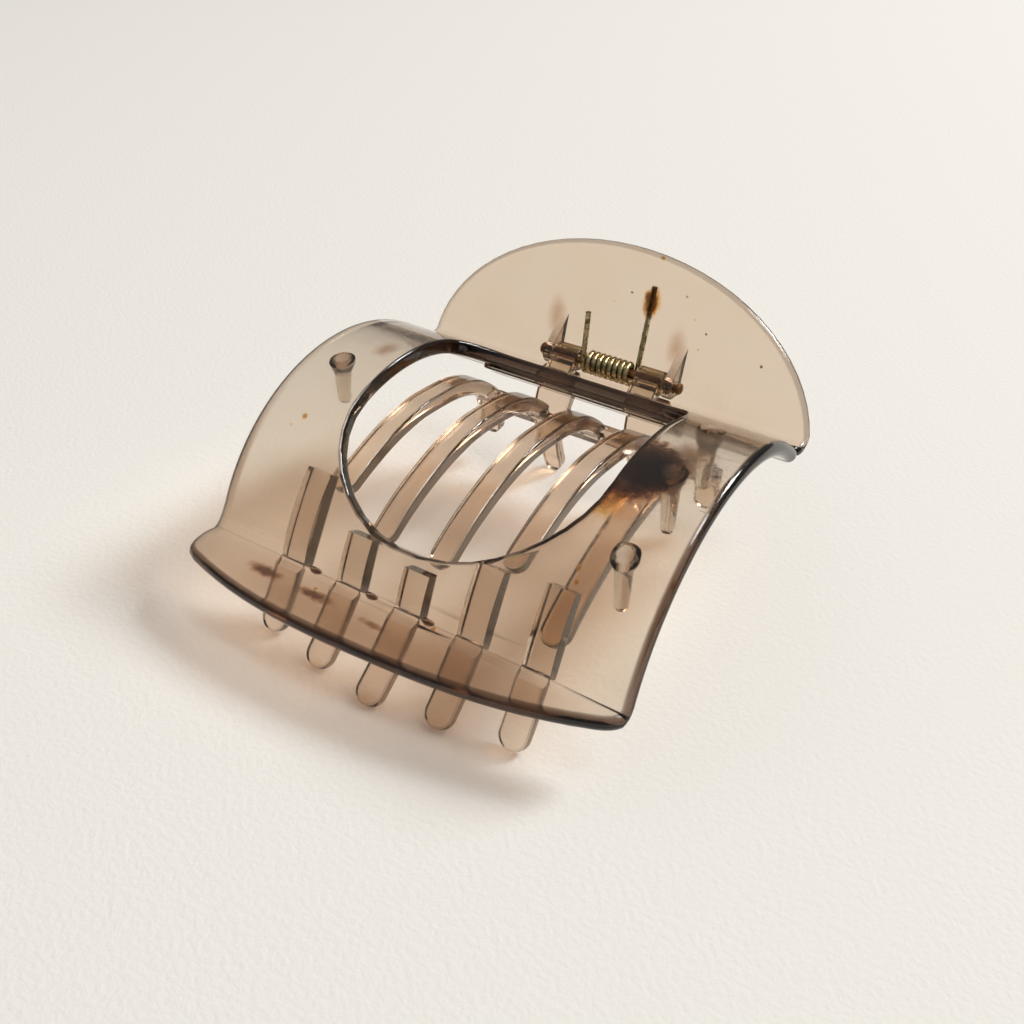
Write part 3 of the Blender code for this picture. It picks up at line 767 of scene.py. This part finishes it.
def frontLeg(x, middle):
    run = measured(smoothRun([(y - extra * middle ** 2, z) for y, z, extra in teeth["leg"]], 4))
    length = run["lengths"][-1]

    def grow(along):
        return 1, 1 - (1 - teeth["tipThick"] / teeth["legThick"]) * along / length

    bm = strip(teeth["legWidth"], length, teeth["legThick"], teeth["edge"], True, teeth["legShade"])
    bend(bm, run, -1, grow)
    return shifted(bm, x)


def dent(x, size):
    # a shallow moulding dent at the fold, its hollow darkened with painted shade
    bm = bmesh.new()
    bmesh.ops.create_uvsphere(bm, u_segments=20, v_segments=12, radius=1.0)
    bmesh.ops.scale(bm, vec=size, verts=bm.verts)
    bmesh.ops.rotate(bm, verts=bm.verts, matrix=Matrix.Rotation(math.radians(dents["turn"]), 3, 'X'))
    bmesh.ops.translate(bm, vec=(x, dents["y"], dents["z"]), verts=bm.verts)
    return paintShadeAll(bm, dents["mark"])


def peg(x, y, length):
    # turned about an upright axis, with its head sunk in the arch
    inner = cover["radius"] - cover["wall"]
    turn = math.asin((y - cover["middle"][0]) / inner)
    top = cover["middle"][1] + inner * math.cos(turn)
    bm = bmesh.new()
    points = []
    for radius, depth in pegs["shape"]:
        if radius < pegs["neck"]:
            depth += length
        points.append(bm.verts.new((radius, 0, top - depth)))
    edges = [bm.edges.new(pair) for pair in zip(points, points[1:])]
    bmesh.ops.spin(bm, geom=points + edges, cent=(0, 0, 0), axis=(0, 0, 1), dvec=(0, 0, 0),
                   angle=math.tau, steps=24, use_merge=True)
    bmesh.ops.remove_doubles(bm, verts=bm.verts, dist=same)
    bmesh.ops.holes_fill(bm, edges=bm.edges, sides=0)
    bmesh.ops.recalc_face_normals(bm, faces=bm.faces)
    bmesh.ops.translate(bm, vec=(x, y, 0), verts=bm.verts)
    # painted shade over the whole peg, fading out under its head
    paintShadeAll(bm, pegs["mark"])
    paintedShade = bm.verts.layers.float["paintedShade"]
    for v in bm.verts:
        v[paintedShade] *= min(max(1 - (top - v.co.z - 1.5) / 2.5, 0.3), 1)      # fades under the head
    return bm


def prism(outline, start, end, edge, depth=0.3):
    # an outline of (y, z) made solid between two x, painted all over with shade as dark as depth
    bm = bmesh.new()
    face = bm.faces.new([bm.verts.new((start, y, z)) for y, z in outline])
    grown = bmesh.ops.extrude_face_region(bm, geom=[face])
    bmesh.ops.translate(bm, vec=(end - start, 0, 0),
                        verts=[g for g in grown["geom"] if isinstance(g, bmesh.types.BMVert)])
    bmesh.ops.recalc_face_normals(bm, faces=bm.faces)
    roundEnds(bm, edge)
    return paintShadeAll(bm, depth)


def hingeRod(radius, start, end, edge):
    bm = bmesh.new()
    bmesh.ops.create_cone(bm, cap_ends=True, segments=36, radius1=radius, radius2=radius, depth=end - start)
    bmesh.ops.rotate(bm, verts=bm.verts, matrix=Matrix.Rotation(math.radians(90), 3, 'Y'))
    bmesh.ops.translate(bm, verts=bm.verts, vec=(hinge["x"] + (start + end) / 2, hinge["y"], hinge["z"]))
    if edge:
        roundEnds(bm, edge)
    # painted shade over the whole knuckle and bore
    return paintShadeAll(bm, hinge["rodShade"])


def hingeBore():
    return hingeRod(hinge["bore"], -hinge["boreReach"], hinge["boreReach"], 0)


def barUnderArch():
    # the deeper bar between the hole and the hinge
    bm = bmesh.new()
    bmesh.ops.create_cube(bm, size=1)
    start, end = archAlong(cover["holeRear"] - bar["front"]), bar["rear"]
    bmesh.ops.scale(bm, vec=(bar["width"], start - end, bar["deep"]), verts=bm.verts)
    bmesh.ops.translate(bm, vec=(0, (start + end) / 2, bar["middle"]), verts=bm.verts)
    roundEdges(bm, [e for e in bm.edges if all(v.co.z < bar["middle"] for v in e.verts)], bar["edge"], 3)
    # painted shade on the bar's sides
    paintRimShade(bm, 0, bar["middle"] - bar["deep"] / 2)
    bend(bm, coverRun, -1)
    return bm


coverPiece = meshOf("cover_shell", coverPlate())
steps = [(barUnderArch(), 'UNION')]
for (x, middle), first in zip(toothPlaces(), teeth["ribStarts"]):
    steps.append((frontRib(x, first), 'UNION'))
    steps.append((frontLeg(x, middle), 'UNION'))
for x, y, length in pegs["places"]:
    steps.append((peg(x, y, length), 'UNION'))
for side in (-1, 1):
    start, end = sorted(side * reach for reach in hinge["knuckles"])
    webStart, webEnd = hinge["x"] + start + hinge["webInset"], hinge["x"] + end - hinge["webInset"]
    steps.append((prism(hinge["web"], webStart, webEnd, hinge["webEdge"]), 'UNION'))
    steps.append((hingeRod(hinge["knuckle"], start, end, hinge["knuckleEdge"]), 'UNION'))
steps.append((hingeBore(), 'DIFFERENCE'))
for x, size in dents["places"]:
    steps.append((dent(x, size), 'DIFFERENCE'))
combine(coverPiece, steps)
finishPiece(coverPiece)
coverPiece.data.materials.append(smokePlastic)
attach(coverPiece, "cover_body")
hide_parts("cover")
print("cover made", len(coverPiece.data.polygons))


# claw: the thumb tab, the flange, the lugs, the arms, the rail, the long teeth and the feet

claw = {
    "lean": 17.0, "y": 32.0, "z": 26.9, "half": 43.9, "high": 31.7, "drop": 4.8, "endTurn": 9.5, "wall": 2.0,
    "flange": ((31.3, 26.35), (30.3, 26.2), (29.2, 26.5), (28.3, 27.1)), "flangeHalf": 43.4,
    "creaseRadius": 1.2, "cornerRadius": 1.8, "tabEdge": 0.98, "tabShade": 0.6,
    "railHalf": 29.0, "rail": ((26.4, 29.4), (14.0, 17.2)), "railEdge": 0.4,
    "long": ((28.6, 14.4), (27.4, 16.4), (25.0, 18.9), (20.6, 22.1), (14.5, 24.3), (8.0, 25.2), (1.5, 25.5),
             (-6.0, 24.5), (-13.0, 22.5), (-20.0, 19.6), (-26.0, 16.0), (-29.4, 13.3)),
    "longThick": 3.0, "longShade": 0.45,
    "longCut": (10.0, 4.0, 4.0, 8.5, 0.0),       # how much shorter each tooth ends
    "arm": ((31.3, 25.6, 8.5), (30.8, 23.0, 8.5), (29.8, 20.6, 8.2), (28.6, 17.6, 7.6), (28.0, 14.0, 5.8),
            (29.0, 9.5, 4.8), (30.6, 5.2, 4.5), (31.5, 3.0, 4.4), (32.2, 0.25, 4.4)),      # y, z, width
    "armX": (10.4, 11.7), "armWidth": 6.0, "armThick": 2.6,
    "foot": ((28.0, 15.6), (28.4, 13.0), (28.9, 10.6), (29.3, 6.6)), "footX": 26.2, "footWidth": 4.6, "footThick": 2.6,
}


def tabPlate():
    # flat: y runs from the flange's front edge up to the top of the tab
    lean = math.radians(claw["lean"])
    heading = Vector((math.sin(lean), math.cos(lean)))
    crease = Vector((claw["y"], claw["z"]))
    flange = [Vector(p) for p in claw["flange"]]
    fold = roundCorner(flange[0], crease - heading * 0.3, crease + heading * 4, claw["creaseRadius"], 5)
    tab = [crease + heading * up for up in (3, 8, 13, 18, 23, 28)]
    run = measured(flange[::-1] + fold + tab)
    creaseAlong = run["lengths"][len(flange) + 3]
    outline = [(-claw["flangeHalf"], 0), (claw["flangeHalf"], 0)]
    low = math.radians(claw["endTurn"])
    for i in range(33):
        turn = low + (math.pi - 2 * low) * i / 32
        outline.append((claw["half"] * math.cos(turn), creaseAlong + claw["high"] * math.sin(turn) - claw["drop"]))
    bm = plateOf([outline], 0, -claw["wall"])
    roundEdges(bm, backCorners(bm), claw["cornerRadius"], 5)
    roundEdges(bm, rimEdges(bm), claw["tabEdge"], 5)
    paintRimShade(bm, 0, -claw["wall"], claw["tabShade"])
    bend(bm, run)
    return bm


def longTooth(x, shorter):
    run = measured(smoothRun(claw["long"], 4))
    length = run["lengths"][-1] - shorter

    def grow(along):
        return 1, 1.1 - 0.3 * max(along / length - 0.5, 0) * 2      # thinner over its second half

    bm = strip(teeth["width"], length, claw["longThick"], teeth["edge"], True, claw["longShade"])
    bend(bm, run, -1, grow)
    return shifted(bm, x)


def limb(points, x, lastX, width, thick):
    # a bar down a run of (y, z), or of (y, z, width), that leans from one x to another
    run = measured(smoothRun([p[:2] for p in points], 4))
    length = run["lengths"][-1]
    widths = [p[2] if len(p) > 2 else width for p in points]

    def grow(along):
        place = min(max(along / length, 0), 0.999) * (len(widths) - 1)
        i = int(place)
        return (widths[i] + (widths[i + 1] - widths[i]) * (place - i)) / width, 1

    bm = strip(width, length, thick, teeth["edge"], True)
    bend(bm, run, -1, grow)
    top = run["points"][0].y
    for v in bm.verts:
        v.co.x += (lastX - x) * min(max((top - v.co.z) / top, 0), 1)
    return shifted(bm, x)


def lugOutline():
    def inTab(z):
        return claw["y"] + (z - claw["z"]) * math.tan(math.radians(claw["lean"])) + hinge["lugSunk"]

    points = [(inTab(hinge["lugTop"]), hinge["lugTop"]), (inTab(hinge["lugFoot"]), hinge["lugFoot"])]
    for degrees in range(280, 150, -10):
        turn = math.radians(degrees)
        points.append((hinge["y"] + hinge["lugRadius"] * math.cos(turn),
                       hinge["z"] + hinge["lugRadius"] * math.sin(turn)))
    return points


clawPiece = meshOf("claw_shell", tabPlate())
(railFront, railRear), (railLow, railHigh) = claw["rail"]
railShape = [(railFront, railLow), (railRear, railLow), (railRear, railHigh), (railFront, railHigh)]
steps = [(prism(railShape, -claw["railHalf"], claw["railHalf"], claw["railEdge"]), 'UNION')]
for side in (-1, 1):
    top, tip = [side * x for x in claw["armX"]]
    steps.append((limb(claw["arm"], top, tip, claw["armWidth"], claw["armThick"]), 'UNION'))
    foot = side * claw["footX"]
    steps.append((limb(claw["foot"], foot, foot, claw["footWidth"], claw["footThick"]), 'UNION'))
    start, end = sorted(hinge["x"] + side * reach for reach in hinge["lugs"])
    steps.append((prism(lugOutline(), start, end, hinge["lugEdge"], hinge["lugShade"]), 'UNION'))
for (x, middle), shorter in zip(toothPlaces(), claw["longCut"]):
    steps.append((longTooth(x, shorter), 'UNION'))
steps.append((hingeBore(), 'DIFFERENCE'))
combine(clawPiece, steps)
finishPiece(clawPiece)
clawPiece.data.materials.append(clawPlastic)
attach(clawPiece, "claw_body")
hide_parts("claw")
print("claw made", len(clawPiece.data.polygons))


# hinge pin: a turned rod with slightly spread, domed ends

pin = {"end": ((16.2, 0.0), (16.15, 0.6), (15.9, 1.05), (15.5, 1.22), (15.2, 1.2), (15.05, 0.88))}     # x, radius


def turnedPin():
    bm = bmesh.new()
    ends = list(pin["end"])
    points = [bm.verts.new((x, 0, r)) for x, r in ends + [(-x, r) for x, r in reversed(ends)]]
    edges = [bm.edges.new(pair) for pair in zip(points, points[1:])]
    bmesh.ops.spin(bm, geom=points + edges, cent=(0, 0, 0), axis=(1, 0, 0), dvec=(0, 0, 0),
                   angle=math.tau, steps=32, use_merge=True)
    bmesh.ops.remove_doubles(bm, verts=bm.verts, dist=same)
    bmesh.ops.recalc_face_normals(bm, faces=bm.faces)
    bmesh.ops.translate(bm, vec=(hinge["x"], hinge["y"], hinge["z"]), verts=bm.verts)
    return bm


pinPiece = meshOf("hinge_rod", turnedPin())
finishPiece(pinPiece)
pinPiece.data.materials.append(pinMetal)
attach(pinPiece, "cover_body")
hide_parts("hinge_pin")
print("pin made")


# spring: a short leg, the coil round the pin and a long leg up the tab

spring = {
    "wire": 0.56, "coil": 1.92, "turns": 8, "half": 5.2, "perTurn": 26, "crease": 50,
    "longLeg": 17.0, "shortLeg": 10.9, "longLean": 17.5, "shortLean": 8.0,
}


def springPath():
    start = math.radians(180 - spring["shortLean"])
    turns = spring["turns"] * math.tau + (start + math.radians(spring["longLean"])) % math.tau
    count = round(turns / math.tau * spring["perTurn"])
    coil = []
    for i in range(count + 1):
        share = i / count
        turn = start + turns * share
        coil.append(Vector((spring["half"] * (2 * share - 1),
                            spring["coil"] * math.cos(turn), spring["coil"] * math.sin(turn))))
    short, long = math.radians(spring["shortLean"]), math.radians(spring["longLean"])
    shortWay, longWay = Vector((0, math.sin(short), math.cos(short))), Vector((0, math.sin(long), math.cos(long)))
    first = [coil[0] + shortWay * spring["shortLeg"] * i / 4 for i in (4, 3, 2, 1)]
    last = [coil[-1] + longWay * spring["longLeg"] * i / 6 for i in range(1, 7)]
    return first + coil + last


def coilAndLegs():
    # the wire is drawn as a curve and made a mesh
    curve = bpy.data.curves.new("springPath", 'CURVE')
    curve.dimensions = '3D'
    curve.bevel_depth = spring["wire"]
    curve.bevel_resolution = 3
    curve.use_fill_caps = True
    path = springPath()
    line = curve.splines.new('POLY')
    line.points.add(len(path) - 1)
    for point, place in zip(line.points, path):
        point.co = (*(place + Vector((hinge["x"], hinge["y"], hinge["z"]))), 1)
    wire = bpy.data.objects.new("springPath", curve)
    bpy.context.scene.collection.objects.link(wire)
    mesh = bpy.data.meshes.new_from_object(wire.evaluated_get(bpy.context.evaluated_depsgraph_get()))
    bpy.data.objects.remove(wire)
    mesh.materials.clear()
    piece = bpy.data.objects.new("spring_coil", mesh)
    bpy.context.scene.collection.objects.link(piece)
    return piece


coilPiece = coilAndLegs()
finishPiece(coilPiece, spring["crease"])
coilPiece.data.materials.append(brassWire)
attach(coilPiece, "claw_body")
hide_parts("spring")
print("spring made")


# floor, lights and camera

def paper(look):
    mat = bpy.data.materials.new("paper")
    mat.use_nodes = True
    tree = mat.node_tree
    shader = tree.nodes["Principled BSDF"]
    shader.inputs["Base Color"].default_value = look["colour"]
    shader.inputs["Roughness"].default_value = look["roughness"]
    shader.inputs["Specular IOR Level"].default_value = look["gloss"]
    place = tree.nodes.new("ShaderNodeTexCoord").outputs["Object"]
    grain = noiseAt(tree, place, look["scale"], 6.0)
    tree.links.new(bumped(mat, grain, look["bump"], look["bumpDepth"]), shader.inputs["Normal"])
    return mat


floorLook = {"colour": (0.85, 0.825, 0.775, 1), "roughness": 0.9, "gloss": 0.1, "scale": 900.0, "bump": 0.3,
             "bumpDepth": 0.0004}
floorMesh = bmesh.new()
bmesh.ops.create_grid(floorMesh, x_segments=1, y_segments=1, size=1.5)
floor = meshOf("floor", floorMesh)
floor.data.materials.append(paper(floorLook))


def areaLight(name, look):
    data = bpy.data.lights.new(name, 'AREA')
    data.shape = 'RECTANGLE'
    data.size, data.size_y = look["size"]
    data.energy = look["power"]
    data.color = look["colour"]
    light = bpy.data.objects.new(name, data)
    light.location = look["place"]
    light.rotation_euler = (Vector(lightTarget) - Vector(look["place"])).to_track_quat('-Z', 'Y').to_euler()
    bpy.context.scene.collection.objects.link(light)
    return light


lightTarget = (0, 0, 0.01)
lights = {
    "key": {"place": (2.10, 3.21, 3.23), "size": (1.45, 1.45), "power": 212.0, "colour": (1.0, 0.995, 0.985)},
    "overhead": {"place": (0.70, 0.19, 1.32), "size": (0.32, 0.5), "power": 4.0, "colour": (1.0, 0.99, 0.98)},
}
glint = {"place": (0.74, 0.20, 1.40), "size": (0.5, 0.7), "power": 9.0, "colour": (1.0, 0.99, 0.98)}
for name, look in lights.items():
    areaLight(name, look)
glintLight = areaLight("glint", glint)          # seen only in the rounded edges
glintLight.visible_diffuse = False
glintLight.visible_transmission = False

sky = {"horizon": (0.30, 0.29, 0.285, 1), "middle": (0.55, 0.54, 0.52, 1), "top": (0.86, 0.84, 0.81, 1),
       "strength": 0.42}
world = bpy.data.worlds.new("studio")
world.use_nodes = True
worldNodes = world.node_tree.nodes
worldLinks = world.node_tree.links
around = worldNodes.new("ShaderNodeTexCoord")
split = worldNodes.new("ShaderNodeSeparateXYZ")
ramp = worldNodes.new("ShaderNodeValToRGB")
ramp.color_ramp.elements[0].position = 0.0
ramp.color_ramp.elements[0].color = sky["horizon"]
ramp.color_ramp.elements[1].position = 0.8
ramp.color_ramp.elements[1].color = sky["top"]
ramp.color_ramp.elements.new(0.3).color = sky["middle"]
worldLinks.new(around.outputs["Generated"], split.inputs["Vector"])
worldLinks.new(split.outputs["Z"], ramp.inputs["Fac"])
worldLinks.new(ramp.outputs["Color"], worldNodes["Background"].inputs["Color"])
worldNodes["Background"].inputs["Strength"].default_value = sky["strength"]
bpy.context.scene.world = world
bpy.context.scene.view_settings.view_transform = 'Standard'

view = {"lens": 39.23, "back": (0.4477, -0.6738, 0.5878), "target": (0, -2.94, 13.73), "distance": 0.2127}
cameraData = bpy.data.cameras.new("camera")
cameraData.lens = view["lens"]
cameraData.sensor_width = 36.0
cameraData.clip_start = 0.01
camera = bpy.data.objects.new("camera", cameraData)
back = Vector(view["back"]).normalized()
camera.location = (Vector(view["target"]) - clipMiddle) * mm + back * view["distance"]
camera.rotation_euler = back.to_track_quat('Z', 'Y').to_euler()
bpy.context.scene.collection.objects.link(camera)
bpy.context.scene.camera = camera
print("stage made")
